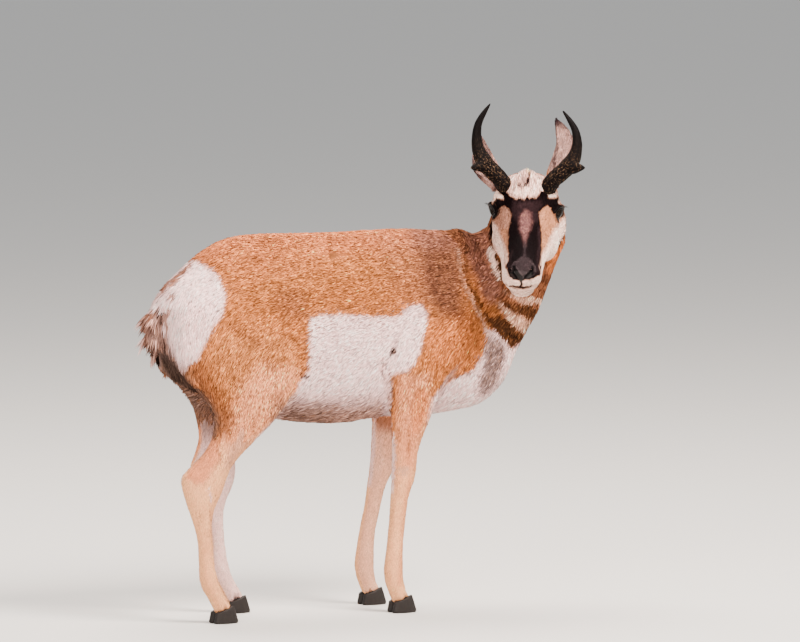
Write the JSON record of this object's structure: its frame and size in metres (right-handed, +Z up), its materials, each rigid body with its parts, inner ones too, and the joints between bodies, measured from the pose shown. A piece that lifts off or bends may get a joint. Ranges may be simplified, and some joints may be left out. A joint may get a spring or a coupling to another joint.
{
  "type": "pronghorn",
  "caption": "Life-size standing pronghorn buck with its head turned to its right, short pronged horns, cupped ears and a short tail.",
  "frame": {"origin": "middle of the model's footprint box, on the floor", "axes": "+Z up, +X the way the body points, -Y the animal's right side, to which its head is turned"},
  "size_m": [1.0356, 0.4414, 1.1681],
  "materials": {
    "tan": "short tan coat",
    "russet": "short russet coat",
    "pale": "short pale coat",
    "white": "long white coat",
    "mask": "short coat with a dark mask",
    "horn": "rough horn, smoother at its tip",
    "hoof": "dull black horn",
    "eye": "wet black"
  },
  "bodies": {
    "root": {"torso": "tan", "neck": "russet", "head": "mask", "tail": "white", "ear_left": "pale", "ear_right": "pale", "eye_left": "eye", "eye_right": "eye", "horn_left": "horn", "horn_right": "horn", "leg_fore_left": "pale", "leg_fore_right": "pale", "leg_hind_left": "pale", "leg_hind_right": "pale", "hoof_fore_left_inner": "hoof", "hoof_fore_left_outer": "hoof", "hoof_fore_right_inner": "hoof", "hoof_fore_right_outer": "hoof", "hoof_hind_left_inner": "hoof", "hoof_hind_left_outer": "hoof", "hoof_hind_right_inner": "hoof", "hoof_hind_right_outer": "hoof"}
  },
  "joints": []
}
